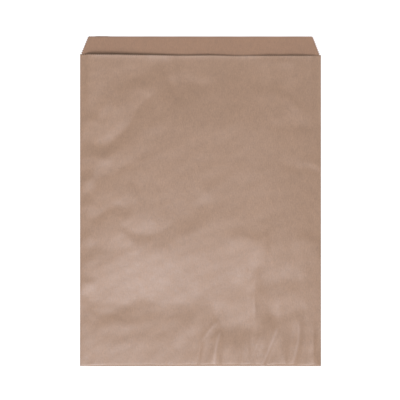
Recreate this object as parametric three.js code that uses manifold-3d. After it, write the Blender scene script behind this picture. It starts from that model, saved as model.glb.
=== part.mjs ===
import * as THREE from "three";
import { mergeVertices } from "three/addons/utils/BufferGeometryUtils.js";
import Module from "manifold-3d";

// A flat kraft paper bag, folded and glued from one sheet, in millimetres.
// It lies on its back panel: X across the bag, Y from the bottom fold to the mouth, Z up.
// The origin is on the surface it lies on, under the middle of its outline.

const wasm = await Module();
wasm.setup();

// The sheet and the outline of the bag
const paperThickness = 0.13;
const bagWidth = 215.9;
const frontHeight = 279.4;
const lipHeight = 16.6;
const lipTaper = 6.8;

// The stepped knife that cuts the mouth, the lip and the end of the turn-up
const toothPitch = 1.84;
const toothDepth = 1.2;

// The glued lap down the back, and the turn-up glued under the bottom
const seamFromLeft = 25.4;
const seamOverlap = 12;
const seamJog = 4;
const turnUpHeight = 18;
const turnUpRamp = 14;

// Air left inside the folds, and how the front swells away from them: steeply from the
// bottom fold to a low part, then up a ramp to the full height
const foldGap = 0.4;
const puffHeight = 4.8;
const lowPuffHeight = 2;
const lowPuffEnd = 45;
const lowPuffRamp = 110;
const sideRun = 60;
const bottomRun = 6;

// How far into the bag the mouth's shape dies away, how far from a side fold it is open in
// full, and the turned-up cut edge
const mouthRun = 70;
const mouthFoldRun = 11.5;
const curlHeight = 0.8;
const curlRun = 9;

// How far from a fold a crease has its full rise
const creaseHold = 4;

// How finely the front is divided, and the steps of a rounded fold
const columns = 32;
const rows = 40;
const bottomRows = 3;
const foldSteps = 4;

// How far the lip reaches into the tube that it is joined to, and a cutter past its work
const lipOverlap = 6;
const clear = 4;

// Height of the open mouth above the back, across the bag from its centre line
const mouthOpening = [
  [-106, 1],
  [-100, 3.2],
  [-91, 4.7],
  [-76, 4.6],
  [-62, 3.9],
  [-44, 3],
  [-30, 2.2],
  [-14, 1.6],
  [4, 2.2],
  [20, 1.5],
  [37, 0.6],
  [50, 1.3],
  [62, 2.2],
  [72, 1.8],
  [84, 2.3],
  [98, 1.4],
  [106, 0.5],
];

// How far the front's cut edge strays from square, across the bag from its centre line
const mouthStray = [
  [-106, 0.9],
  [-86, 0.45],
  [-50, 0.05],
  [-14, -0.1],
  [6, 0.35],
  [32, -0.2],
  [88, -0.25],
  [106, 0.15],
];

// Creases: from and to are measured across from the centre line and up from the bottom
// fold. The sheet rises (or falls, below zero) to a sharp line, over the flank widths on
// the left and the right of the way from one to the other, and fades past both ends.
const creases = {
  lowerValley: { from: [-98, 56], to: [2, 55], rise: -1.2, left: 42, right: 40, fade: 12 },
  lowerValleyTurn: { from: [2, 54], to: [47, 35], rise: -0.9, left: 34, right: 26, fade: 10 },
  lowerRightValley: { from: [50, 45], to: [76, 47], rise: -0.6, left: 14, right: 30, fade: 8 },
  bottomLift: { from: [-12, 7], to: [112, 7], rise: 0.7, left: 40, right: 7, fade: 24 },
  upright: { from: [55, 112], to: [47, 34], rise: 0.8, left: 12, right: 24, fade: 10 },
  rightSlope: { from: [60, 66], to: [86, 78], rise: -0.3, left: 10, right: 9, fade: 7 },
  cornerRidge: { from: [66, 31], to: [57, 3], rise: 0.5, left: 6, right: 6, fade: 6 },
  middleRidge: { from: [17, 28], to: [14, 3], rise: 0.45, left: 6, right: 6, fade: 5 },
  middleFold: { from: [13, 38], to: [5, 27], rise: 0.4, left: 6, right: 5, fade: 4 },
  edgeRidge: { from: [87, 36], to: [84, 6], rise: 0.4, left: 6, right: 6, fade: 5 },
  upperLeftValley: { from: [-108, 200], to: [-76, 204], rise: -0.7, left: 18, right: 12, fade: 8 },
  upperLeftRise: { from: [-76, 204], to: [-44, 240], rise: -0.75, left: 20, right: 13, fade: 9 },
  upperLeftCrest: { from: [-108, 222], to: [-80, 243], rise: 0.4, left: 12, right: 9, fade: 9 },
  topLeftValley: { from: [-70, 252], to: [-26, 273], rise: -0.5, left: 12, right: 18, fade: 10 },
  sideRipple: { from: [-108, 176], to: [-92, 180], rise: -0.4, left: 7, right: 8, fade: 6 },
  sideStreak: { from: [-92, 171], to: [-60, 181], rise: -0.3, left: 9, right: 9, fade: 7 },
  sideDip: { from: [-108, 154], to: [-94, 157], rise: -0.4, left: 8, right: 8, fade: 6 },
  bowedValley: { from: [-92, 133], to: [-56, 147], rise: -0.45, left: 14, right: 11, fade: 9 },
  slantFoot: { from: [-66, 124], to: [-46, 116], rise: -0.4, left: 16, right: 10, fade: 7 },
  slantValley: { from: [-46, 116], to: [-2, 143], rise: -0.55, left: 24, right: 13, fade: 12 },
  sideFurrow: { from: [-108, 121], to: [-94, 123], rise: -0.4, left: 8, right: 8, fade: 6 },
  sideFurrowLow: { from: [-108, 102], to: [-64, 102], rise: -0.35, left: 10, right: 10, fade: 8 },
  rightFurrow: { from: [26, 121], to: [56, 120], rise: -0.35, left: 8, right: 9, fade: 7 },
  rightEdgeFurrow: { from: [84, 120], to: [106, 119], rise: -0.3, left: 8, right: 8, fade: 6 },
  lowerLeftNick: { from: [-93, 53], to: [-68, 46], rise: -0.35, left: 7, right: 9, fade: 6 },
};

// Places that follow from the sizes above
const halfWidth = bagWidth / 2;
const bottomY = -(frontHeight + lipHeight) / 2;
const mouthY = bottomY + frontHeight;
const lipTopY = mouthY + lipHeight;
const turnUpLift = 2 * paperThickness;
const sideRadius = paperThickness + foldGap / 2;
const bottomRadius = 2 * paperThickness + foldGap / 2;
const turnUpTopY = bottomY + turnUpHeight;
const seamInnerX = -halfWidth + seamFromLeft;
const seamOuterX = seamInnerX - seamOverlap;

function clamp01(share) {
  return Math.min(Math.max(share, 0), 1);
}

// From 0 to 1 with a level start and end
function smooth(share) {
  const t = clamp01(share);
  return t * t * (3 - 2 * t);
}

// From 0 to 1, steep at the start and level at the end, as a sheet leaves its fold
function swell(share) {
  const left = 1 - clamp01(share);
  return 1 - left * left;
}

// A value that passes smoothly from one listed point to the next
function along(points, x) {
  const next = points.findIndex((point) => point[0] > x);
  if (next === 0) return points[0][1];
  if (next < 0) return points[points.length - 1][1];
  const [x0, value0] = points[next - 1];
  const [x1, value1] = points[next];
  return value0 + (value1 - value0) * smooth((x - x0) / (x1 - x0));
}

// How far one crease moves the sheet at a place
function creaseRise({ from, to, rise, left, right, fade }, x, fromBottom) {
  const length = Math.hypot(to[0] - from[0], to[1] - from[1]);
  const alongX = (to[0] - from[0]) / length;
  const alongY = (to[1] - from[1]) / length;
  const travel = (x - from[0]) * alongX + (fromBottom - from[1]) * alongY;
  const aside = (fromBottom - from[1]) * alongX - (x - from[0]) * alongY;
  const flank = 1 - clamp01(Math.abs(aside) / (aside > 0 ? left : right));
  const past = Math.max(-travel, travel - length, 0);
  return rise * flank * flank * (1 - smooth(past / fade));
}

// The air between the back and the front at a place
function airGap(x, y) {
  const fromSide = halfWidth - Math.abs(x);
  const fromBottom = y - bottomY;
  const fromMouth = mouthY - y;
  const ramp = smooth((fromBottom - lowPuffEnd) / lowPuffRamp);
  const puff = lowPuffHeight + (puffHeight - lowPuffHeight) * ramp;
  const edges = swell(fromSide / sideRun) * swell(fromBottom / bottomRun);
  const inside = smooth(fromMouth / mouthRun);
  const curl = curlHeight * (1 - clamp01(fromMouth / curlRun)) ** 2;
  const mouth = (along(mouthOpening, x) + curl) * swell(fromSide / mouthFoldRun);
  let gap = puff * edges * inside + mouth * (1 - inside);
  for (const crease of Object.values(creases)) {
    const held = swell(fromSide / creaseHold) * swell(fromBottom / creaseHold) * inside;
    gap += creaseRise(crease, x, fromBottom) * held;
  }
  return foldGap + Math.max(gap, 0);
}

// The underside of the back: lifted over the turn-up, down on the surface past it
function backLift(y) {
  const overTurnUp = 1 - smooth((y - turnUpTopY) / turnUpRamp);
  return turnUpLift * overTurnUp;
}

// The back across the bag, from left to right: the right part passes under the left
// part's edge at the lap, and the left part steps up over it.
function backUnderside(lift) {
  return [
    [-halfWidth + sideRadius, lift],
    [seamOuterX - seamJog, lift],
    [seamOuterX, lift + paperThickness],
    [seamOuterX, lift],
    [halfWidth - sideRadius, lift],
  ];
}

function backTop(lift) {
  return [
    [-halfWidth + sideRadius, lift + paperThickness],
    [seamOuterX - seamJog, lift + paperThickness],
    [seamOuterX, lift + 2 * paperThickness],
    [seamInnerX, lift + 2 * paperThickness],
    [seamInnerX, lift + paperThickness],
    [halfWidth - sideRadius, lift + paperThickness],
  ];
}

// The points between the ends of a half-round fold, right (side 1) or left (side -1),
// going up on the right and down on the left
function foldArc(side, reach, lowZ, highZ) {
  const arc = [];
  for (let step = 1; step < foldSteps; step++) {
    const angle = Math.PI * (step / foldSteps - 0.5);
    const x = side * (halfWidth - sideRadius + reach * Math.cos(angle));
    arc.push([x, (lowZ + highZ + side * (highZ - lowZ) * Math.sin(angle)) / 2]);
  }
  return arc;
}

// The front across the bag, from right to left, at a height given for each place
function frontLine(y, baseZ) {
  const line = [];
  const reach = halfWidth - sideRadius;
  for (let column = columns; column >= 0; column--) {
    const x = reach * ((2 * column) / columns - 1);
    const held = column === 0 || column === columns;
    line.push([x, baseZ + (held ? foldGap : airGap(x, y))]);
  }
  return line;
}

// The outside of the bag at one station. The back's underside may lie lower than the back
// is lifted, where the turn-up comes round the bottom fold.
function outerSection(y, lowZ = backLift(y)) {
  const topZ = backLift(y) + 2 * paperThickness;
  return [
    ...backUnderside(lowZ),
    ...foldArc(1, sideRadius, lowZ, topZ + foldGap),
    ...frontLine(y, topZ),
    ...foldArc(-1, sideRadius, lowZ, topZ + foldGap),
  ].map(([x, z]) => [x, y, z]);
}

// The hollow inside the bag at one station
function innerSection(y) {
  const lowZ = backLift(y) + paperThickness;
  const reach = sideRadius - paperThickness;
  return [
    ...backTop(backLift(y)),
    ...foldArc(1, reach, lowZ, lowZ + foldGap),
    ...frontLine(y, lowZ),
    ...foldArc(-1, reach, lowZ, lowZ + foldGap),
  ].map(([x, z]) => [x, y, z]);
}

// The rounded bottom fold: the section beside it, drawn in about its middle height
function bottomFold(section, y, share) {
  return section.map(([x, , z]) => [x, y, bottomRadius + (z - bottomRadius) * share]);
}

// Stations from the bottom fold to past the mouth
function stations(firstY) {
  const found = [];
  for (let row = 0; row < bottomRows; row++) {
    found.push(firstY + (bottomRun * row) / bottomRows);
  }
  const startY = firstY + bottomRun;
  const endY = mouthY - toothDepth - clear;
  for (let row = 0; row <= rows; row++) {
    found.push(startY + ((endY - startY) * row) / rows);
  }
  found.push(mouthY + clear);
  return found;
}

// The triangles that close a section, between its lower and its upper line
function endCap(section) {
  const xs = section.map(([x]) => x);
  const count = section.length;
  const leftmost = xs.indexOf(Math.min(...xs));
  const rightmost = xs.indexOf(Math.max(...xs));
  let low = leftmost;
  let high = leftmost;
  const faces = [];
  while (low !== rightmost || high !== rightmost) {
    const nextLow = (low + 1) % count;
    const nextHigh = (high + count - 1) % count;
    const raiseLow = high === rightmost || (low !== rightmost && xs[nextLow] < xs[nextHigh]);
    if (raiseLow) {
      if (high !== low) faces.push([low, nextLow, high]);
      low = nextLow;
    } else {
      if (high !== low) faces.push([low, nextHigh, high]);
      high = nextHigh;
    }
  }
  return faces;
}

// A closed mesh through sections that have the same number of points
function loft(sections) {
  const count = sections[0].length;
  const faces = [];
  for (let here = 0; here < count * (sections.length - 1); here++) {
    const beside = (here + 1) % count ? here + 1 : here + 1 - count;
    faces.push(here, here + count, beside, beside, here + count, beside + count);
  }
  const last = count * (sections.length - 1);
  for (const [a, b, c] of endCap(sections[0])) faces.push(a, b, c);
  for (const [a, b, c] of endCap(sections.at(-1))) faces.push(last + a, last + c, last + b);
  const geometry = new THREE.BufferGeometry();
  const positions = sections.flat(2);
  geometry.setAttribute("position", new THREE.Float32BufferAttribute(positions, 3));
  geometry.setIndex(faces);
  return geometry;
}

function toManifold(geometry) {
  const bare = geometry.clone();
  bare.deleteAttribute("normal");
  bare.deleteAttribute("uv");
  const merged = mergeVertices(bare, 1e-5);
  const mesh = new wasm.Mesh({
    numProp: 3,
    vertProperties: new Float32Array(merged.attributes.position.array),
    triVerts: new Uint32Array(merged.index.array),
  });
  return new wasm.Manifold(mesh);
}

function toGeometry(solid) {
  const mesh = solid.getMesh();
  const geometry = new THREE.BufferGeometry();
  geometry.setAttribute("position", new THREE.BufferAttribute(mesh.vertProperties, 3));
  geometry.setIndex(new THREE.BufferAttribute(mesh.triVerts, 1));
  geometry.computeVertexNormals();
  return geometry;
}

// A flat outline given a thickness, from one height to another
function slab(outline, lowZ, highZ) {
  const shape = new THREE.Shape(outline.map(([x, y]) => new THREE.Vector2(x, y)));
  const geometry = new THREE.ExtrudeGeometry(shape, {
    depth: highZ - lowZ,
    bevelEnabled: false,
  });
  geometry.translate(0, 0, lowZ);
  return toManifold(geometry);
}

// The line that the knife leaves between two points: whole teeth of about the pitch, with
// their tips on the way and their roots on its right. The last point is left to the next
// stretch.
function toothedLine(from, to, stray = () => 0) {
  const length = Math.hypot(to[0] - from[0], to[1] - from[1]);
  const alongX = (to[0] - from[0]) / length;
  const alongY = (to[1] - from[1]) / length;
  const teeth = Math.max(Math.round(length / toothPitch), 1);
  const line = [];
  for (let half = 0; half < 2 * teeth; half++) {
    const travel = (length * half) / (2 * teeth);
    const depth = half % 2 ? toothDepth : 0;
    const x = from[0] + travel * alongX + depth * alongY;
    const y = from[1] + travel * alongY - depth * alongX;
    line.push([x, y + stray(x)]);
  }
  return line;
}

// What the knife takes off the tube at the mouth
function mouthCutter() {
  const reach = halfWidth + toothPitch;
  const outline = [
    ...toothedLine([-reach, mouthY], [reach, mouthY], (x) => along(mouthStray, x)),
    [reach, mouthY],
    [reach, lipTopY + clear],
    [-reach, lipTopY + clear],
  ];
  return slab(outline, -clear, puffHeight + 2 * clear);
}

// The bag's tube: the outer form less its hollow, cut off at the mouth
function tube() {
  const firstY = bottomY + bottomRadius;
  const bottomSection = outerSection(firstY, 0);
  const fold = [];
  for (let step = 1; step < foldSteps; step++) {
    const angle = (Math.PI / 2) * (step / foldSteps);
    const y = firstY - bottomRadius * Math.cos(angle);
    fold.push(bottomFold(bottomSection, y, Math.sin(angle)));
  }
  const [, ...onward] = stations(firstY);
  const outer = loft([...fold, bottomSection, ...onward.map((y) => outerSection(y))]);
  const inner = loft(stations(firstY).map(innerSection));
  return toManifold(outer).subtract(toManifold(inner)).subtract(mouthCutter());
}

// The lip: the back panel on past the front's edge, its sides slanting in to the top
function lip() {
  const foot = halfWidth - sideRadius;
  const top = foot - lipTaper;
  const wide = halfWidth + clear;
  const startY = mouthY - lipOverlap;
  const outline = [
    [-wide, startY - clear],
    [-wide, mouthY - toothDepth],
    ...toothedLine([-foot, mouthY], [-top, lipTopY]),
    ...toothedLine([-top, lipTopY], [top, lipTopY]),
    ...toothedLine([top, lipTopY], [foot, mouthY]),
    [foot, mouthY],
    [wide, mouthY - toothDepth],
    [wide, startY - clear],
  ];
  const section = [...backUnderside(0), ...backTop(0).reverse()];
  const ends = [startY, lipTopY + clear];
  const strip = toManifold(loft(ends.map((y) => section.map(([x, z]) => [x, y, z]))));
  return strip.intersect(slab(outline, -clear, clear));
}

// The turn-up: the tube's end folded under the back, two sheets thick, with its cut edge
function turnUp() {
  const foot = halfWidth - sideRadius;
  const outline = [
    [-foot, bottomY + bottomRadius],
    ...toothedLine([-foot, turnUpTopY], [foot, turnUpTopY]),
    [foot, turnUpTopY],
    [foot, bottomY + bottomRadius],
  ];
  return slab(outline, 0, turnUpLift + paperThickness / 2);
}

function kraftPaper() {
  return new THREE.MeshStandardMaterial({ color: 0xa58671, roughness: 0.5, metalness: 0 });
}

// The whole bag is one folded sheet, so it is one solid
function paperBag() {
  const solid = tube().add(lip()).add(turnUp());
  const mesh = new THREE.Mesh(toGeometry(solid), kraftPaper());
  mesh.name = "paper_bag";
  return mesh;
}

const bag = new THREE.Group();
bag.add(paperBag());

export default bag;
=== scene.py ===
import math

import bpy
import numpy as np
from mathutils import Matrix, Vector


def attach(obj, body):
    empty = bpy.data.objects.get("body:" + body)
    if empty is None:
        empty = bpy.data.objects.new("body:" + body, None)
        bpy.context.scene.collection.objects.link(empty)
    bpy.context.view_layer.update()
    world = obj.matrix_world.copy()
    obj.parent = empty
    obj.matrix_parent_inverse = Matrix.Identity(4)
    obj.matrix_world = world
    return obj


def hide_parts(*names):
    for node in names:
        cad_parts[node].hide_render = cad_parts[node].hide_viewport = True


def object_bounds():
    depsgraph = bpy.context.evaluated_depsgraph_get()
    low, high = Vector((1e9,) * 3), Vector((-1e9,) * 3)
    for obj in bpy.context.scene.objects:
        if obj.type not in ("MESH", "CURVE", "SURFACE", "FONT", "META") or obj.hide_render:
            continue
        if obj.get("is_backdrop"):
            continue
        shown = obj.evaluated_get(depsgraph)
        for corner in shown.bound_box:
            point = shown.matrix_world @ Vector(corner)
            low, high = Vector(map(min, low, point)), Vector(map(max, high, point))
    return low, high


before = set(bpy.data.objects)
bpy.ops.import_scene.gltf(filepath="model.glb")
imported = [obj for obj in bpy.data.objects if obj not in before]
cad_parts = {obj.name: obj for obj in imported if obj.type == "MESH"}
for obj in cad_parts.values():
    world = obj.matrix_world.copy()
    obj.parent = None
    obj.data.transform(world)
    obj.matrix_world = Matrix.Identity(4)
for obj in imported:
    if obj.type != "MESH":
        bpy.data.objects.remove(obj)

# A flat kraft paper bag, folded and glued from one sheet, lying on its back panel.
# X runs across the bag, Y from the bottom fold to the mouth, Z up out of the front.
# The panel's sizes are in metres. The folding is worked out in millimetres.

bl_info = {
    "name": "Kraft Paper Bag",
    "version": (1, 0, 0),
    "blender": (4, 5, 0),
    "location": "3D View > Sidebar > Paper Bag",
    "description": "Folds a flat kraft paper bag round its packed model and lights it",
    "category": "Add Mesh",
}

CAD_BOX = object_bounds()
BAG_NODE = "paper_bag"
BAG_BODY = "root"
MM = 0.001

# Height of the open mouth above the back, across the bag from its centre line, in mm
MOUTH_OPENING = (
    (-106, 2.2), (-100, 4), (-91, 4.8), (-76, 4.6), (-62, 3.9), (-44, 3), (-30, 2.2), (-14, 1.6),
    (4, 2.2), (20, 1.5), (37, 0.6), (50, 1.3), (62, 2.2), (72, 1.8), (84, 2.3), (98, 1.4),
    (106, 0.5),
)

# How far the front's cut edge strays from square, across the bag, in mm
MOUTH_STRAY = (
    (-106, 0.1), (-86, -0.35), (-50, -0.6), (-14, -0.9), (6, -0.7), (32, -1), (88, -1.05),
    (106, -0.75),
)

# Creases in mm: from and to, across from the centre line and up from the bottom fold, then
# the rise, the flank widths on the left and right of the way, and the fade past both ends
CREASES = {
    "lower valley": ((-98, 57), (-12, 57), -0.7, 26, 22, 16),
    "lower valley turn": ((10, 52), (14, 37), -0.5, 20, 20, 8),
    "lower valley foot": ((22, 34), (46, 33), -0.65, 24, 22, 8),
    "lower right valley": ((50, 46), (66, 44), -0.6, 26, 13, 6),
    "lower right end": ((66, 44), (92, 52), -0.4, 16, 12, 8),
    "lower left nick": ((-94, 50), (-68, 44), -0.25, 8, 6, 5),
    "lower left swell": ((-92, 37), (-50, 38), 0.5, 20, 60, 14),
    "middle swell": ((-12, 28), (-4, 47), 0.5, 24, 18, 16),
    "lower right swell": ((47, 28), (60, 29), 0.8, 19, 26, 7),
    "strip": ((42, 92), (56, 114), 0.8, 26, 16, 20),
    "upright": ((50, 72), (47, 34), 1.0, 20, 8, 20),
    "right slope": ((60, 69), (86, 81), -0.6, 18, 14, 9),
    "corner ridge": ((57, 3), (66, 31), 0.6, 8, 5, 6),
    "middle ridge": ((14, 3), (17, 28), 0.6, 8, 5, 5),
    "middle fold": ((5, 27), (13, 38), 0.5, 5, 5, 4),
    "edge ridge": ((84, 6), (87, 36), 0.5, 8, 10, 8),
    "side pucker lowest": ((-109, 35), (-100, 36), 0.45, 8, 14, 6),
    "side pucker low": ((-109, 73), (-99, 75), 0.55, 8, 18, 6),
    "side pucker below middle": ((-109, 91), (-98, 93), 0.5, 13, 20, 6),
    "side pucker at middle": ((-109, 113), (-98, 115), 0.6, 9, 10, 6),
    "side pucker above middle": ((-109, 144), (-99, 146), 0.65, 12, 14, 6),
    "side pucker high": ((-109, 167), (-98, 169), 1.0, 9, 14, 6),
    "side pucker long": ((-109, 186), (-84, 187), 0.9, 13, 12, 12),
    "side pucker highest": ((-109, 216), (-96, 221), 1.0, 10, 18, 7),
    "upper left valley": ((-102, 198), (-84, 200), -0.7, 14, 12, 6),
    "upper left rise": ((-78, 203), (-46, 238), -1.7, 18, 20, 12),
    "upper left crest": ((-96, 222), (-80, 238), 0.6, 9, 14, 7),
    "top left valley": ((-70, 253), (-34, 271), -0.9, 22, 17, 10),
    "top fold": ((-33, 264), (-18, 243), -0.35, 8, 8, 5),
    "top middle valley": ((-28, 254), (6, 252), -0.8, 10, 24, 8),
    "top right swell": ((38, 244), (66, 243), 0.5, 14, 20, 8),
    "top right edge": ((56, 277), (84, 276), 0.6, 6, 12, 7),
    "right streak high": ((66, 243), (96, 228), 0.45, 9, 14, 8),
    "right streak": ((66, 214), (104, 218), -0.5, 11, 10, 8),
    "right edge dip": ((90, 182), (108, 181), 0.5, 9, 8, 6),
    "right line": ((76, 179), (104, 174), -0.35, 12, 5, 8),
    "side streak": ((-92, 166), (-60, 180), -0.45, 10, 9, 8),
    "bowed valley": ((-96, 134), (-64, 146), -0.7, 14, 10, 7),
    "bowed end": ((-62, 144), (-58, 158), 0.5, 20, 8, 6),
    "slant foot": ((-66, 124), (-46, 117), -0.6, 16, 9, 7),
    "slant valley": ((-44, 117), (2, 144), -1.1, 28, 18, 20),
    "side furrow": ((-94, 105), (-64, 106), -0.5, 16, 15, 8),
    "right furrow": ((28, 114), (56, 115), 0.5, 9, 24, 6),
    "right edge furrow": ((90, 112), (108, 112), 0.8, 10, 24, 12),
}

# Ridges whose sharp crest gets a painted highlight, a paler colour standing in for a glint of
# light, and how much
CREST_HIGHLIGHTS = {"corner ridge": 1.0, "middle ridge": 0.9, "edge ridge": 0.7, "middle fold": 0.8}

# The section of a crease: how much it narrows past its ends, how much lower its ends are than
# its middle, and how round its crest is, from 0 for a sharp one to 1
CREASE_TAPER = 0.5
CREASE_EASE = 0.25
CREASE_ROUND = 0.45

# The waves that bend the creases: mm across and up the bag over which each runs on by a radian
SIDEWAYS_WAVE = (37, 11)
UPWARD_WAVE = (9, 23)
UPWARD_WAVE_START = 1
FINE_WAVE = (4.3, 13)
FINE_WAVE_SHARE = 0.7

# Where the greater swell of the left side starts to die away, and over how far, in mm
LEFT_PUFF_END = -50
LEFT_PUFF_FADE = 80

# How far from the side folds, the bottom fold and the mouth the fine puckers are full, in mm
SIDE_HOLD = 6
BOTTOM_HOLD = 3
MOUTH_HOLD = 20

# The gathers at the bottom fold in mm: where they begin to grow from their low share on the
# left, over how far they grow, and from where and over how far they die away up the bag
GATHERS_FROM = -30
GATHERS_GROWTH = 34
GATHERS_LOW_SHARE = 0.25
GATHERS_TOP = 12
GATHERS_FADE = 34

# The gathers lean this much, are this much longer than wide, and have crests this sharp
GATHER_LEAN = 0.2
GATHER_STRETCH = 5
GATHER_SHARPNESS = 5

# The ripples run this way, are this much longer than wide, and have a seed of their own
RIPPLE_WAY = (0.85, 0.5)
RIPPLE_STRETCH = 2.4
RIPPLE_SEED_STEP = 3.5

# The grid of faces, and the angle past which an edge stays sharp
FOLD_STEPS = 3
TURN_UP_ROWS = 8
BOTTOM_FOLD_STEPS = 6
BOTTOM_ROWS = 4
LIP_ROWS = 20
LEFT, RIGHT = -1, 1
BACK_COLUMNS = {LEFT: 6, RIGHT: 26}
SHARP_ANGLE = math.radians(50)

# Air between two sheets that lie on each other, in mm, and what the weld joins, in metres
PLY_CLEARANCE = 0.01
WELD_DISTANCE = 1e-6

# The middle value of a noise, by which it is centred on 0
NOISE_MIDDLE = 0.5

# The paper's patterns: how many to a metre across, along and through, their detail and turn
PAPER_PATTERNS = {
    "cloud": ((28, 28, 28), 3, 0),
    "pulp": ((190, 150, 190), 3, 0),
    "grain": ((900, 700, 900), 2, 0),
    "fibres": ((2600, 260, 900), 1, 0),
    "crossed": ((2400, 300, 900), 1, math.radians(62)),
    "slanted": ((2400, 300, 900), 1, math.radians(-48)),
}

# How much each pattern lightens and darkens the paper, roughens it and stands out from it
TONE_SHARES = {
    "cloud": 0.14, "pulp": 0.2, "grain": 0.32, "fibres": 0.22, "crossed": 0.22, "slanted": 0.22,
}
ROUGHNESS_SHARES = {"pulp": 0.15, "grain": 0.15}
RELIEF_SHARES = {"fibres": 1, "crossed": 0.7, "slanted": 0.7, "pulp": 3, "grain": 1}
RELIEF_STRENGTH = 0.35
RELIEF_HEIGHT = 0.00012

# Bark specks: cells to a metre, a speck's size in a cell, which cells have one, and its strength
SPECK_CELLS = 75
SPECK_EDGE = (0.012, 0.03)
SPECK_PICK = (0.55, 0.6)
SPECK_STRENGTH = 0.75

# The sheen of the paper, how much rougher its inner face is, and the roughness of a cut
PAPER_SHEEN = 0.8
INSIDE_ROUGHER = 0.3
CUT_ROUGHNESS = 0.95

# The floor, which lies just under the bag, and the light that makes it read as white
FLOOR_SIZE = 8.0
FLOOR_DROP = 0.0001
FLOOR_GREY = 0.8
FLOOR_GLOW = 0.45

# Where the key light hangs, and the place on the floor that the camera looks down on
KEY_DISTANCE = 6.0
KEY_TURN = math.radians(193)
KEY_HEIGHT = math.radians(60)
VIEW_CENTRE = Vector((-0.00045, 0.0009, 0.0))

WHITE = (1, 1, 1, 1)


def length(name, text, default):
    """A size in metres that the panel shows as a length."""
    return bpy.props.FloatProperty(
        name=name, description=text, default=default, min=0, precision=5, unit="LENGTH"
    )


def share(name, text, default):
    """A value from 0 to 1 for the panel."""
    return bpy.props.FloatProperty(
        name=name, description=text, default=default, min=0, max=1, subtype="FACTOR"
    )


def colour(name, text, default):
    """A linear colour for the panel."""
    return bpy.props.FloatVectorProperty(
        name=name, description=text, default=default, size=3, min=0, max=1, subtype="COLOR"
    )


class BagSizes(bpy.types.PropertyGroup):
    """The sheet, its folds and its cut edges"""

    width: length("Width", "Across the bag, from fold to fold", CAD_BOX[1].x - CAD_BOX[0].x)
    full_length: length("Length", "From the bottom fold to the lip's edge", 2 * CAD_BOX[1].y)
    lip_height: length("Lip Height", "How far the back stands past the front", 0.0166)
    lip_taper: length("Lip Taper", "How far each side of the lip slants in", 0.0068)
    thickness: length("Paper Thickness", "One sheet of the paper", 0.00013)
    fold_gap: length("Fold Gap", "Air left inside a fold", 0.0004)
    tooth_pitch: length("Tooth Pitch", "From one tooth of the knife to the next", 0.00184)
    tooth_depth: length("Tooth Depth", "From a tooth's tip to its root", 0.0012)
    seam_from_left: length("Seam From Left", "Left fold to the lap's inner edge", 0.0254)
    seam_overlap: length("Seam Overlap", "Width of the glued lap", 0.012)
    seam_jog: length("Seam Jog", "Over which the lap's upper sheet steps up", 0.004)
    turn_up: length("Turn-up", "Height of the glued turn-up under the bottom", 0.018)
    turn_up_ramp: length("Turn-up Ramp", "Over which the back comes down past it", 0.014)
    row_step: length("Row Step", "Length of one face along the bag", 0.0023)


class BagRelief(bpy.types.PropertyGroup):
    """How the empty bag swells and puckers"""

    puff: length("Puff", "Air between the front and the back", 0.0048)
    left_puff: length("Left Puff", "More air on the left, where the mouth is open", 0.0018)
    side_run: length("Side Run", "Over which the front rises from a side fold", 0.06)
    bottom_run: length("Bottom Run", "Over which it rises from the bottom fold", 0.0024)
    low_puff: length("Low Puff", "Air between the sheets near the bottom fold", 0.0013)
    low_end: length("Low End", "How far up the bag that low part reaches", 0.045)
    low_ramp: length("Low Ramp", "Over which it rises to the full puff", 0.085)
    mouth_run: length("Mouth Run", "Over which the mouth's shape dies away", 0.07)
    mouth_fold_run: length("Mouth Fold Run", "From a side fold to the full opening", 0.0115)
    curl: length("Curl", "How far the front's cut edge turns up", 0.0004)
    curl_run: length("Curl Run", "Over which it turns up", 0.005)
    crease_hold: length("Crease Hold", "From a fold to the full rise of a crease", 0.002)
    crease_end: length("Crease End", "Below the mouth, over which creases die away", 0.008)
    # The width of the painted highlight on each side of a crest
    crest_width: length("Crest Width", "Of a rubbed crest, on each side of it", 0.0022)
    wander: length("Wander", "How far creases stray from straight", 0.0018)
    gather_spacing: length("Gather Spacing", "Between puckers at the bottom fold", 0.017)
    gather_height: length("Gather Height", "Of a pucker at the bottom fold", 0.0009)
    ripple_size: length("Ripple Size", "Across one soft ripple of the sheet", 0.016)
    ripple_height: length("Ripple Height", "Of a soft ripple", 0.0005)
    seed: bpy.props.IntProperty(name="Seed", description="Picks the puckers", default=7)


class KraftLook(bpy.types.PropertyGroup):
    """The colours and the finish of the paper"""

    outside: colour("Outside", "Machine-finished outer face", (0.356, 0.226, 0.1455))
    inside: colour("Inside", "Rougher inner face", (0.35, 0.212, 0.133))
    # The cut edge's colour is partly its paler torn fibres and partly a painted highlight along
    # the cut; the crests' painted highlight takes this colour too
    cut_edge: colour("Cut Edge", "Torn fibres along a cut", (0.50, 0.36, 0.28))
    fleck: colour("Fleck", "Bark specks in the pulp", (0.13, 0.07, 0.045))
    roughness: share("Roughness", "Of the outer face", 0.45)
    # How far the painted highlight on sharp crests pales the paper
    wear: share("Wear", "Of a ridge's rubbed crest", 0.65)


class StudioSettings(bpy.types.PropertyGroup):
    """The camera and the lights"""

    lens: bpy.props.FloatProperty(
        name="Lens", description="Focal length", default=100, min=1, unit="CAMERA"
    )
    view_width: length("View Width", "What the picture shows across at the floor", 0.3586)
    key_size: length("Key Size", "Side of the square key light", 2.57)
    key_strength: bpy.props.FloatProperty(
        name="Key Strength", description="Power of the key light in watts", default=270
    )
    key_colour: colour("Key Colour", "Of the key light", (1, 0.95, 1))
    fill_strength: share("Fill Strength", "Even light from all round", 0.3)


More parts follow.
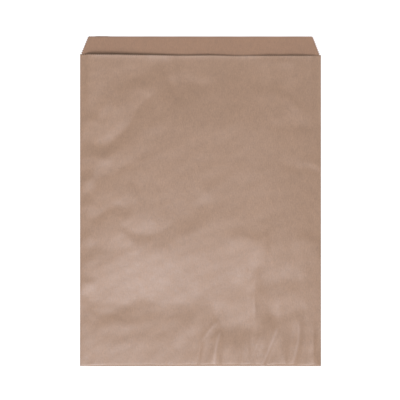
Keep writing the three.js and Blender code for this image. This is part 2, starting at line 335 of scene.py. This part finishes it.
class Wire:
    """A node's output that can be used in Python expressions."""

    def __init__(self, tree, socket):
        self.tree = tree
        self.socket = socket

    def math(self, operation, *others, swap=False):
        """A Math node on this value and others, in turned order for a reflected form."""
        values = [self, *others]
        if swap:
            values.reverse()
        return self.tree.node("ShaderNodeMath", values, operation=operation)

    def __add__(self, other):
        return self.math("ADD", other)

    def __radd__(self, other):
        return self.math("ADD", other, swap=True)

    def __sub__(self, other):
        return self.math("SUBTRACT", other)

    def __rsub__(self, other):
        return self.math("SUBTRACT", other, swap=True)

    def __mul__(self, other):
        return self.math("MULTIPLY", other)

    def __rmul__(self, other):
        return self.math("MULTIPLY", other, swap=True)

    def __truediv__(self, other):
        return self.math("DIVIDE", other)

    def __rtruediv__(self, other):
        return self.math("DIVIDE", other, swap=True)

    def clamped(self):
        """Kept between 0 and 1."""
        return self.math("MINIMUM", 1).math("MAXIMUM", 0)

    def above(self, low, high):
        """0 at the low value and 1 at the high one, with a level start and end."""
        return self.tree.node(
            "ShaderNodeMapRange", {0: self, 1: low, 2: high}, interpolation_type="SMOOTHSTEP"
        )


class Tree:
    """Adds nodes to one node tree, and links or fills their sockets."""

    def __init__(self, tree):
        self.tree = tree

    def node(self, kind, inputs=(), output=0, **settings):
        """A new node's output, or the node itself if it has none."""
        made = self.add(kind, inputs, **settings)
        return Wire(self, made.outputs[output]) if made.outputs else made

    def outputs(self, kind, names, inputs=(), **settings):
        """The named outputs of one new node."""
        made = self.add(kind, inputs, **settings)
        return [Wire(self, made.outputs[name]) for name in names]

    def add(self, kind, inputs, **settings):
        """A new node, with its settings made first and its sockets then filled or linked."""
        made = self.tree.nodes.new(kind)
        for name, value in settings.items():
            setattr(made, name, value)
        pairs = inputs.items() if isinstance(inputs, dict) else enumerate(inputs)
        for name, value in pairs:
            if isinstance(value, Wire):
                self.tree.links.new(value.socket, made.inputs[name])
            else:
                made.inputs[name].default_value = value
        return made

    def mix(self, amount, first, second):
        """A colour between two."""
        return self.node(
            "ShaderNodeMix", {0: amount, 6: first, 7: second}, output=2, data_type="RGBA"
        )

    def scaled(self, vector, amount):
        """A vector or a colour times a value."""
        return self.node(
            "ShaderNodeVectorMath", {0: vector, "Scale": amount}, operation="SCALE"
        )


def material_tree(material):
    """The emptied node tree of a new material or world."""
    material.use_nodes = True
    material.node_tree.nodes.clear()
    return Tree(material.node_tree)


def smooth(amount):
    """0 to 1, level at the start and at the end."""
    amount = np.clip(amount, 0, 1)
    return amount * amount * (3 - 2 * amount)


def swell(amount):
    """0 to 1, steep at the start and level at the end, as a sheet leaves its fold."""
    return 1 - (1 - np.clip(amount, 0, 1)) ** 2


def along(points, x):
    """A value that passes smoothly from one listed point to the next."""
    places, values = np.array(points).T
    span = np.clip(np.searchsorted(places, x, side="right") - 1, 0, len(places) - 2)
    passed = smooth((x - places[span]) / (places[span + 1] - places[span]))
    return values[span] + (values[span + 1] - values[span]) * passed


def crease_rise(crease, x, from_bottom):
    """How far one crease moves the sheet at each place, in mm."""
    start, end, rise, left, right, fade = crease
    run = math.dist(start, end)
    along_x, along_y = (end[0] - start[0]) / run, (end[1] - start[1]) / run
    travel = (x - start[0]) * along_x + (from_bottom - start[1]) * along_y
    aside = (from_bottom - start[1]) * along_x - (x - start[0]) * along_y
    past = np.clip(np.maximum(-travel, travel - run) / fade, 0, 1)
    width = np.where(aside > 0, left, right) * (1 - CREASE_TAPER * past)
    near = 1 - np.clip(np.abs(aside) / width, 0, 1)
    flank = near**2 * (1 - CREASE_ROUND) + smooth(near) * CREASE_ROUND
    middle = 1 - CREASE_EASE * (2 * np.clip(travel / run, 0, 1) - 1) ** 2
    return rise * flank * middle * (1 - smooth(past))


class Folding:
    """The bag's measures in mm, and the places that follow from them."""

    def __init__(self, sizes, relief):
        for group in (sizes, relief):
            for name in group.__annotations__:
                value = getattr(group, name)
                setattr(self, name, value / MM if isinstance(value, float) else value)
        self.half_width = self.width / 2
        self.bottom = -self.full_length / 2
        self.lip_top = self.full_length / 2
        self.mouth = self.lip_top - self.lip_height
        self.side_radius = self.thickness + self.fold_gap / 2
        self.bottom_radius = 2 * self.thickness + self.fold_gap / 2
        self.foot = self.half_width - self.side_radius
        self.first_row = self.bottom + self.bottom_radius
        self.turn_up_top = self.bottom + self.turn_up
        self.seam_inner = -self.half_width + self.seam_from_left
        self.seam_outer = self.seam_inner - self.seam_overlap

    def turn_up_rows(self):
        """Where the rows of the turn-up lie, from its cut end to the bottom fold."""
        return np.linspace(self.turn_up_top, self.first_row, TURN_UP_ROWS + 1)[:-1]

    def panel_rows(self):
        """Where the front's and the back's rows lie, from the bottom fold to the mouth."""
        start = self.first_row + self.row_step
        count = round((self.mouth - start) / self.row_step)
        steps = self.first_row + self.row_step * np.linspace(0, 1, BOTTOM_ROWS + 1)[:-1]
        return np.concatenate((steps, np.linspace(start, self.mouth, count + 1)))

    def back_lift(self, y):
        """The underside of the back: over the turn-up, then down on the floor."""
        return 2 * self.thickness * (1 - smooth((y - self.turn_up_top) / self.turn_up_ramp))

    def lap_lift(self, x, side):
        """How much the lap lifts its upper sheet, which is the left side of the back."""
        if side == RIGHT:
            return np.zeros_like(x)
        start = self.seam_outer - self.seam_jog
        return (self.thickness + PLY_CLEARANCE) * np.clip((x - start) / self.seam_jog, 0, 1)

    def air_gap(self, x, y):
        """The air between the back and the front."""
        from_side = self.half_width - np.abs(x)
        from_bottom = y - self.bottom
        inside = smooth((self.mouth - y) / self.mouth_run)
        edges = swell(from_side / self.side_run) * swell(from_bottom / self.bottom_run)
        gap = self.swelling(x, from_bottom) * edges * inside
        gap = gap + self.opening(x, y) * swell(from_side / self.mouth_fold_run) * (1 - inside)
        held = swell(from_side / self.crease_hold) * swell(from_bottom / self.crease_hold)
        held = held * smooth((self.mouth - y) / self.crease_end)
        place = self.bent(x, from_bottom)
        for crease in CREASES.values():
            gap = gap + crease_rise(crease, *place) * held
        return self.fold_gap + np.maximum(gap, 0)

    def swelling(self, x, from_bottom):
        """The air in the middle of the bag: little near the bottom fold, most on the left."""
        rise = smooth((from_bottom - self.low_end) / self.low_ramp)
        full = self.puff + self.left_puff * (1 - smooth((x - LEFT_PUFF_END) / LEFT_PUFF_FADE))
        return self.low_puff + (full - self.low_puff) * rise

    def opening(self, x, y):
        """The air at the mouth, with the front's cut edge turned up."""
        turned_up = (1 - np.clip((self.mouth - y) / self.curl_run, 0, 1)) ** 2
        return along(MOUTH_OPENING, x) + self.curl * turned_up

    def bent(self, x, from_bottom):
        """The place at which a crease is measured, so that it strays from straight."""
        sideways = np.sin(x / SIDEWAYS_WAVE[0] + from_bottom / SIDEWAYS_WAVE[1])
        upward = np.sin(x / UPWARD_WAVE[0] + UPWARD_WAVE_START)
        upward = upward * np.cos(from_bottom / UPWARD_WAVE[1])
        fine = np.sin(x / FINE_WAVE[0] + from_bottom / FINE_WAVE[1])
        upward = upward + FINE_WAVE_SHARE * fine
        return x + self.wander * sideways, from_bottom + self.wander * upward

    def worn(self, x, from_bottom):
        """Near 1 on a ridge's crest, where the highlight is painted, and 0 away from it."""
        place = self.bent(x, from_bottom)
        total = np.zeros_like(x)
        for name, strength in CREST_HIGHLIGHTS.items():
            start, end, *_, fade = CREASES[name]
            crest = (start, end, strength, self.crest_width, self.crest_width, fade)
            total += crease_rise(crest, *place)
        return np.clip(total, 0, 1)

    def stray(self, x, y):
        """How far a row near the mouth bends with the front's cut edge."""
        near = smooth(1 - np.abs(self.mouth - y) / self.lip_height)
        return along(MOUTH_STRAY, x) * near


class Sheet:
    """The folded sheet's outer face, as rows of vertices and the faces between them."""

    def __init__(self):
        self.points = []
        self.faces = []
        self.teeth = {}

    def row(self, points):
        """Adds a row of vertices, and gives their numbers."""
        first = len(self.points)
        self.points.extend(points)
        return list(range(first, len(self.points)))

    def join(self, lower, upper, turned=False):
        """Faces between two rows, whose numbers of vertices may differ."""
        spans = min(len(lower), len(upper)) - 1
        for span in range(spans):
            ring = self.stretch(lower, span, spans) + self.stretch(upper, span, spans)[::-1]
            self.faces.append(ring[::-1] if turned else ring)

    @staticmethod
    def stretch(row, span, spans):
        """The part of a row that belongs to one span."""
        last = len(row) - 1
        return row[last * span // spans : last * (span + 1) // spans + 1]

    def skin(self, rows, turned=False):
        """Faces between each row and the next."""
        for lower, upper in zip(rows, rows[1:]):
            self.join(lower, upper, turned)

    def cut(self, row, inward):
        """The knife runs along these vertices, with a tip at the first and every other."""
        for place, vertex in enumerate(row):
            self.teeth[vertex] = (place / 2, inward)


def side_fold(fold, end, side, tip_y, tip_z, reach):
    """A quarter turn from the flat end of a row to the tip of its side fold."""
    x, y, z = end
    tip_y = tip_y + fold.stray(side * fold.half_width, tip_y)
    turns = [math.pi / 2 * (step + 1) / FOLD_STEPS for step in range(FOLD_STEPS)]
    return [
        (
            x + side * reach * math.sin(turn),
            tip_y + (y - tip_y) * math.cos(turn),
            tip_z + (z - tip_z) * math.cos(turn),
        )
        for turn in turns
    ]


def folded_row(fold, flat, tip_y, tip_z, reach, sides=(LEFT, RIGHT)):
    """A row of (x, y, z) with the half of each side fold that belongs to it."""
    before, after = [], []
    if LEFT in sides:
        before = side_fold(fold, flat[0], LEFT, tip_y, tip_z, reach)[::-1]
    if RIGHT in sides:
        after = side_fold(fold, flat[-1], RIGHT, tip_y, tip_z, reach)
    return [*before, *flat, *after]


def bottom_fold_rows(fold, x):
    """The rows round the bottom fold, from the turn-up to the front."""
    for step in range(BOTTOM_FOLD_STEPS):
        turn = math.pi * (step / BOTTOM_FOLD_STEPS - 0.5)
        climbed = (1 + math.sin(turn)) / 2
        y = fold.first_row - fold.bottom_radius * math.cos(turn)
        flat = [(place, y, 2 * fold.bottom_radius * climbed) for place in x]
        tip_z = fold.thickness + climbed * (fold.thickness + fold.side_radius)
        reach = fold.thickness + climbed * (fold.side_radius - fold.thickness)
        yield folded_row(fold, flat, fold.first_row, tip_z, reach)


def fold_front(sheet, fold):
    """The turn-up's outer sheet, the bottom fold and the front panel, as one run of rows."""
    x = np.linspace(-fold.foot, fold.foot, 2 * round(2 * fold.foot / fold.tooth_pitch) + 1)
    rows = []
    for y in fold.turn_up_rows():
        flat = [(place, y, 0) for place in x]
        rows.append(sheet.row(folded_row(fold, flat, y, fold.thickness, fold.thickness)))
    rows.extend(sheet.row(points) for points in bottom_fold_rows(fold, x))
    for y in fold.panel_rows():
        lift = fold.back_lift(y)
        height = lift + 2 * fold.thickness + fold.air_gap(x, y)
        flat = list(zip(x, y + fold.stray(x, y), height))
        tip_z = lift + fold.side_radius
        rows.append(sheet.row(folded_row(fold, flat, y, tip_z, fold.side_radius)))
    sheet.skin(rows)
    inner = slice(FOLD_STEPS, -FOLD_STEPS)
    for row in (rows[0], rows[-1]):
        sheet.cut(row[inner], (0, -1, 0))
    return rows


def fold_back(sheet, fold, side):
    """One side of the back, from its side fold to the lap: the turn-up's inner sheet, the
    back panel and the lip. The left side lies over the right side's edge at the lap."""
    ends = (-fold.foot, fold.seam_inner) if side == LEFT else (fold.seam_outer, fold.foot)
    x = np.linspace(*ends, BACK_COLUMNS[side] + 1)
    t = fold.thickness

    def row(y, z, tip_y, tip_z, reach):
        """A row of the back, whose y and z may be one value or one for each place."""
        flat = list(zip(x, y + np.zeros_like(x), z + np.zeros_like(x)))
        return sheet.row(folded_row(fold, flat, tip_y, tip_z, reach, (side,)))

    rows = [row(y, 2 * t - PLY_CLEARANCE, y, t, t) for y in fold.turn_up_rows()]
    rows.append(row(fold.first_row - PLY_CLEARANCE, 2 * t, fold.first_row, 2 * t, t))
    for y in fold.panel_rows():
        lift = fold.back_lift(y)
        z = lift + fold.lap_lift(x, side) + (PLY_CLEARANCE if y < fold.turn_up_top else 0)
        tip_z = lift + fold.side_radius
        rows.append(row(y + fold.stray(x, y), z, y, tip_z, fold.side_radius))
    sheet.skin(rows, turned=True)
    past_fold = slice(FOLD_STEPS, None) if side == LEFT else slice(None, -FOLD_STEPS)
    make_lip(sheet, fold, side, ends, rows[-1][past_fold])


def make_lip(sheet, fold, side, ends, mouth_row):
    """One side of the lip, from the mouth to its cut edge, with its slanting cut side."""
    teeth = round((ends[1] - ends[0] - fold.lip_taper) / fold.tooth_pitch)
    rows = [mouth_row]
    for step in range(1, LIP_ROWS + 1):
        passed = step / LIP_ROWS
        taper = fold.lip_taper * passed
        low, high = (ends[0] + taper, ends[1]) if side == LEFT else (ends[0], ends[1] - taper)
        x = np.linspace(low, high, 2 * teeth + 1)
        y = fold.mouth + fold.lip_height * passed
        rows.append(sheet.row(list(zip(x, y + fold.stray(x, y), fold.lap_lift(x, side)))))
    sheet.skin(rows, turned=True)
    sheet.cut(rows[-1], (0, -1, 0))
    slant = math.hypot(fold.lip_height, fold.lip_taper)
    inward = (-side * fold.lip_height / slant, -fold.lip_taper / slant, 0)
    sheet.cut([row[0 if side == LEFT else -1] for row in rows[:-1]], inward)


def pucker_shares(fold, points, on_front):
    """How strongly the ripples, the gathers and the painted crest highlight act on each vertex.
    """
    x, y, _ = points.T
    from_bottom = y - fold.bottom
    from_side = fold.half_width - np.abs(x)
    held = on_front * swell(from_side / SIDE_HOLD) * swell(from_bottom / BOTTOM_HOLD)
    grown = smooth((x - GATHERS_FROM) / GATHERS_GROWTH)
    gathered = GATHERS_LOW_SHARE + (1 - GATHERS_LOW_SHARE) * grown
    gathered = gathered * (1 - smooth((from_bottom - GATHERS_TOP) / GATHERS_FADE))
    return {
        "ripple_share": held * smooth((fold.mouth - y) / MOUTH_HOLD),
        "gather_share": held * gathered,
        "worn_share": on_front * fold.worn(x, from_bottom),
    }


def sheet_mesh(sheet, fold, front_rows):
    """The folded sheet's outer face as a mesh, with what its nodes read."""
    points = np.array(sheet.points, float)
    count = len(points)
    travel, inward, on_front = np.zeros(count), np.zeros((count, 3)), np.zeros(count)
    for vertex, (place, direction) in sheet.teeth.items():
        travel[vertex] = place
        inward[vertex] = direction
    on_front[np.concatenate(front_rows[TURN_UP_ROWS + BOTTOM_FOLD_STEPS :])] = 1
    mesh = bpy.data.meshes.new("folded_sheet")
    mesh.from_pydata((points * MM).tolist(), [], sheet.faces)
    layer = mesh.attributes.new("tooth_inward", "FLOAT_VECTOR", "POINT")
    layer.data.foreach_set("vector", inward.astype(np.float32).ravel())
    values = {"tooth_travel": travel, **pucker_shares(fold, points, on_front)}
    for name, numbers in values.items():
        layer = mesh.attributes.new(name, "FLOAT", "POINT")
        layer.data.foreach_set("value", numbers.astype(np.float32))
    return mesh


def attribute(nodes, name, kind="FLOAT"):
    """A value that the mesh holds for each vertex."""
    return nodes.node("GeometryNodeInputNamedAttribute", {0: name}, data_type=kind)


def plane_noise(nodes, x, y, seed):
    """A soft noise over the sheet, centred on 0."""
    place = nodes.node("ShaderNodeCombineXYZ", (x, y, seed))
    noise = nodes.node("ShaderNodeTexNoise", {"Vector": place, "Scale": 1.0, "Detail": 1.0})
    return noise - NOISE_MIDDLE


def tooth_cut(nodes, given):
    """How far the knife's teeth push the cut edges in: not at a tip, in full at a root."""
    tooth = attribute(nodes, "tooth_travel").math("PINGPONG", 0.5) * 2
    inward = attribute(nodes, "tooth_inward", "FLOAT_VECTOR")
    return nodes.scaled(inward, tooth * given["Tooth Depth"])


def pucker_lift(nodes, given):
    """How far the gathers at the bottom fold and the ripples lift the front."""
    position = nodes.node("GeometryNodeInputPosition")
    x, y = nodes.outputs("ShaderNodeSeparateXYZ", ("X", "Y"), (position,))
    spacing, size, seed = (given[name] for name in ("Gather Spacing", "Ripple Size", "Seed"))
    leaning = (x - y * GATHER_LEAN) / spacing
    pucker = plane_noise(nodes, leaning, y / (spacing * GATHER_STRETCH), seed)
    crest = 1 - pucker.math("ABSOLUTE") * GATHER_SHARPNESS
    gather = crest * given["Gather Height"] * attribute(nodes, "gather_share")
    lengthwise = x * RIPPLE_WAY[0] + y * RIPPLE_WAY[1]
    across = y * RIPPLE_WAY[0] - x * RIPPLE_WAY[1]
    lengthwise = lengthwise / (size * RIPPLE_STRETCH)
    soft = plane_noise(nodes, lengthwise, across / size, seed + RIPPLE_SEED_STEP)
    ripple = soft * 2 * given["Ripple Height"] * attribute(nodes, "ripple_share")
    return nodes.node("ShaderNodeCombineXYZ", {2: gather + ripple})


def finishing_nodes():
    """Cuts the knife's teeth along the marked edges, and puckers the front."""
    tree = bpy.data.node_groups.new("paper_finish", "GeometryNodeTree")
    sockets = {
        "Geometry": "NodeSocketGeometry",
        "Tooth Depth": "NodeSocketFloat",
        "Gather Spacing": "NodeSocketFloat",
        "Gather Height": "NodeSocketFloat",
        "Ripple Size": "NodeSocketFloat",
        "Ripple Height": "NodeSocketFloat",
        "Seed": "NodeSocketFloat",
        "Paper": "NodeSocketMaterial",
    }
    for name, kind in sockets.items():
        tree.interface.new_socket(name, in_out="INPUT", socket_type=kind)
    tree.interface.new_socket("Geometry", in_out="OUTPUT", socket_type="NodeSocketGeometry")
    nodes = Tree(tree)
    given = dict(zip(sockets, nodes.outputs("NodeGroupInput", sockets)))
    parts = (tooth_cut(nodes, given), pucker_lift(nodes, given))
    offset = nodes.node("ShaderNodeVectorMath", parts, operation="ADD")
    moved = nodes.node("GeometryNodeSetPosition", {0: given["Geometry"], 3: offset})
    real = nodes.node("GeometryNodeRealizeInstances", {0: moved})
    papered = nodes.node("GeometryNodeSetMaterial", {0: real, 2: given["Paper"]})
    nodes.node("NodeGroupOutput", {0: papered})
    return tree


def add_finish(bag, sizes, relief, outside):
    """The modifier that cuts the teeth, puckers the front and gives the sheet its paper."""
    modifier = bag.modifiers.new("finish", "NODES")
    modifier.node_group = finishing_nodes()
    values = {
        "Tooth Depth": sizes.tooth_depth,
        "Gather Spacing": relief.gather_spacing,
        "Gather Height": relief.gather_height,
        "Ripple Size": relief.ripple_size,
        "Ripple Height": relief.ripple_height,
        "Seed": float(relief.seed),
        "Paper": outside,
    }
    for item in modifier.node_group.interface.items_tree:
        if item.in_out == "INPUT" and item.name in values:
            modifier[item.identifier] = values[item.name]


def add_thickness(bag, thickness):
    """The modifiers that join the folded sheet and thicken it inwards, with a cut rim."""
    weld = bag.modifiers.new("weld", "WELD")
    weld.merge_threshold = WELD_DISTANCE
    ply = bag.modifiers.new("ply", "SOLIDIFY")
    ply.thickness = thickness
    ply.offset = -1
    ply.material_offset = 1
    ply.material_offset_rim = 2


def to_plain_mesh(piece):
    """Works the piece's modifiers into its mesh, and smooths it but for its sharp edges."""
    graph = bpy.context.evaluated_depsgraph_get()
    made = bpy.data.meshes.new_from_object(piece.evaluated_get(graph))
    piece.modifiers.clear()
    piece.data = made
    made.polygons.foreach_set("use_smooth", [True] * len(made.polygons))
    made.set_sharp_from_angle(angle=SHARP_ANGLE)


def paper_patterns(tree, place):
    """The noises of the paper, each centred on 0."""
    patterns = {}
    for name, (scale, detail, turn) in PAPER_PATTERNS.items():
        spot = tree.node("ShaderNodeMapping", {0: place, 2: (0, 0, turn), 3: scale})
        inputs = {"Vector": spot, "Scale": 1.0, "Detail": detail}
        patterns[name] = tree.node("ShaderNodeTexNoise", inputs) - NOISE_MIDDLE
    return patterns


def blend(patterns, shares):
    """The patterns added up, each by its share."""
    first, *others = (patterns[name] * amount for name, amount in shares.items())
    return sum(others, start=first)


def bark_specks(tree, place):
    """Near 1 on a bark speck, and 0 on the paper round it."""
    distance, cell = tree.outputs(
        "ShaderNodeTexVoronoi", ("Distance", "Color"), {"Vector": place, "Scale": SPECK_CELLS}
    )
    pick = tree.node("ShaderNodeSeparateColor", {0: cell})
    return (1 - distance.above(*SPECK_EDGE)) * pick.above(*SPECK_PICK)


def paper(name, base, look, roughness):
    """Kraft paper: cloudy pulp, fibres, grain, bark specks and a painted highlight on sharp
    crests.
    """
    material = bpy.data.materials.new(name)
    tree = material_tree(material)
    place = tree.node("ShaderNodeTexCoord", output="Object")
    patterns = paper_patterns(tree, place)
    tint = tree.scaled((*base,), 1 + blend(patterns, TONE_SHARES))
    specks = bark_specks(tree, place) * SPECK_STRENGTH
    speckled = tree.mix(specks, tint, (*look.fleck, 1))
    # A painted highlight on sharp ridge crests: the paper turns paler there in place of a glint
    # of light
    highlit = tree.node("ShaderNodeAttribute", output="Fac", attribute_name="worn_share")
    bump = tree.node(
        "ShaderNodeBump",
        {
            "Strength": RELIEF_STRENGTH,
            "Distance": RELIEF_HEIGHT,
            "Height": blend(patterns, RELIEF_SHARES),
        },
    )
    surface = tree.node(
        "ShaderNodeBsdfPrincipled",
        {
            "Base Color": tree.mix(highlit * look.wear, speckled, (*look.cut_edge, 1)),
            "Roughness": (roughness + blend(patterns, ROUGHNESS_SHARES)).clamped(),
            "Specular IOR Level": PAPER_SHEEN,
            "Normal": bump,
        },
    )
    tree.node("ShaderNodeOutputMaterial", {0: surface})
    return material


class BAG_OT_make_bag(bpy.types.Operator):
    """Fold the paper bag, cut its edges and give it its paper"""

    bl_idname = "paper_bag.make_bag"
    bl_label = "Make Paper Bag"

    def execute(self, context):
        scene = context.scene
        sizes, relief, look = scene.bag_sizes, scene.bag_relief, scene.bag_look
        fold = Folding(sizes, relief)
        sheet = Sheet()
        front_rows = fold_front(sheet, fold)
        for side in BACK_COLUMNS:
            fold_back(sheet, fold, side)
        bag = bpy.data.objects.new("folded_paper_bag", sheet_mesh(sheet, fold, front_rows))
        scene.collection.objects.link(bag)
        outside = paper("kraft_outside", look.outside, look, look.roughness)
        inside = paper("kraft_inside", look.inside, look, look.roughness + INSIDE_ROUGHER)
        cut_edge = paper("kraft_cut_edge", look.cut_edge, look, CUT_ROUGHNESS)
        for material in (outside, inside, cut_edge):
            bag.data.materials.append(material)
        add_finish(bag, sizes, relief, outside)
        add_thickness(bag, sizes.thickness)
        to_plain_mesh(bag)
        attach(bag, BAG_BODY)
        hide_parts(BAG_NODE)
        return {"FINISHED"}


def look_at(thing, target):
    """Turns a light so that it points at a place."""
    thing.rotation_euler = (target - thing.location).to_track_quat("-Z", "Y").to_euler()


def shows_white(tree):
    """1 for what the camera sees straight, in a reflection or through glass."""
    names = ("Is Camera Ray", "Is Glossy Ray", "Is Transmission Ray")
    straight, reflected, through = tree.outputs("ShaderNodeLightPath", names)
    return (straight + reflected + through).clamped()


def floor_material():
    """A pale matte floor that reads as white where nothing shades it."""
    material = bpy.data.materials.new("pale_floor")
    tree = material_tree(material)
    matte = tree.node("ShaderNodeBsdfDiffuse", {0: (FLOOR_GREY, FLOOR_GREY, FLOOR_GREY, 1)})
    glow = tree.node("ShaderNodeEmission", {0: WHITE, 1: shows_white(tree) * FLOOR_GLOW})
    both = tree.node("ShaderNodeAddShader", (matte, glow))
    tree.node("ShaderNodeOutputMaterial", {0: both})
    return material


def lay_floor(scene):
    """The plain floor under the bag."""
    half = FLOOR_SIZE / 2
    corners = [
        (across * half, up * half, -FLOOR_DROP)
        for across, up in ((-1, -1), (1, -1), (1, 1), (-1, 1))
    ]
    mesh = bpy.data.meshes.new("floor")
    mesh.from_pydata(corners, [], [(0, 1, 2, 3)])
    mesh.materials.append(floor_material())
    floor = bpy.data.objects.new("floor", mesh)
    scene.collection.objects.link(floor)
    floor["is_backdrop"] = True


def hang_key_light(scene, studio):
    """One far soft light, high on the side of the bag's bottom."""
    lamp = bpy.data.lights.new("key", "AREA")
    lamp.size = studio.key_size
    lamp.energy = studio.key_strength
    lamp.color = studio.key_colour
    key = bpy.data.objects.new("key", lamp)
    flat = math.cos(KEY_HEIGHT)
    way = (math.sin(KEY_TURN) * flat, math.cos(KEY_TURN) * flat, math.sin(KEY_HEIGHT))
    key.location = Vector(way) * KEY_DISTANCE
    scene.collection.objects.link(key)
    look_at(key, Vector((0, 0, 0)))


def light_all_round(scene, studio):
    """An even fill light, which the camera sees as a white background."""
    world = bpy.data.worlds.new("studio")
    tree = material_tree(world)
    fill = studio.fill_strength
    strength = shows_white(tree) * (1 - fill) + fill
    light = tree.node("ShaderNodeBackground", {0: WHITE, 1: strength})
    tree.node("ShaderNodeOutputWorld", {0: light})
    scene.world = world


def set_camera(scene, studio):
    """The camera, straight above the bag with the mouth at the top of the picture."""
    lens = bpy.data.cameras.new("camera")
    lens.lens = studio.lens
    camera = bpy.data.objects.new("camera", lens)
    distance = studio.lens * studio.view_width / lens.sensor_width
    camera.location = VIEW_CENTRE + Vector((0, 0, distance))
    scene.collection.objects.link(camera)
    scene.camera = camera


class BAG_OT_set_stage(bpy.types.Operator):
    """Lay the floor, hang the lights and set the camera"""

    bl_idname = "paper_bag.set_stage"
    bl_label = "Set Stage"

    def execute(self, context):
        scene = context.scene
        studio = scene.bag_studio
        lay_floor(scene)
        hang_key_light(scene, studio)
        light_all_round(scene, studio)
        set_camera(scene, studio)
        scene.view_settings.view_transform = "Standard"
        return {"FINISHED"}


class BAG_PT_panel(bpy.types.Panel):
    """Sizes, paper and studio of the bag"""

    bl_label = "Paper Bag"
    bl_idname = "BAG_PT_panel"
    bl_space_type = "VIEW_3D"
    bl_region_type = "UI"
    bl_category = "Paper Bag"

    def draw(self, context):
        for group_name, operator in (
            ("bag_sizes", None),
            ("bag_relief", None),
            ("bag_look", BAG_OT_make_bag.bl_idname),
            ("bag_studio", BAG_OT_set_stage.bl_idname),
        ):
            group = getattr(context.scene, group_name)
            box = self.layout.box()
            for name in group.__annotations__:
                box.prop(group, name)
            if operator:
                box.operator(operator)


GROUPS = {
    "bag_sizes": BagSizes,
    "bag_relief": BagRelief,
    "bag_look": KraftLook,
    "bag_studio": StudioSettings,
}
CLASSES = (*GROUPS.values(), BAG_OT_make_bag, BAG_OT_set_stage, BAG_PT_panel)


def register():
    for cls in CLASSES:
        bpy.utils.register_class(cls)
    for name, group in GROUPS.items():
        setattr(bpy.types.Scene, name, bpy.props.PointerProperty(type=group))


def unregister():
    for name in GROUPS:
        delattr(bpy.types.Scene, name)
    for cls in reversed(CLASSES):
        bpy.utils.unregister_class(cls)


def main():
    """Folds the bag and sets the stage."""
    register()
    bpy.ops.paper_bag.make_bag()
    bpy.ops.paper_bag.set_stage()
    boxes = {"cad": CAD_BOX, "visual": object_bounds()}
    {name: [list(c) for c in box] for name, box in boxes.items()}


if __name__ == "__main__":
    main()
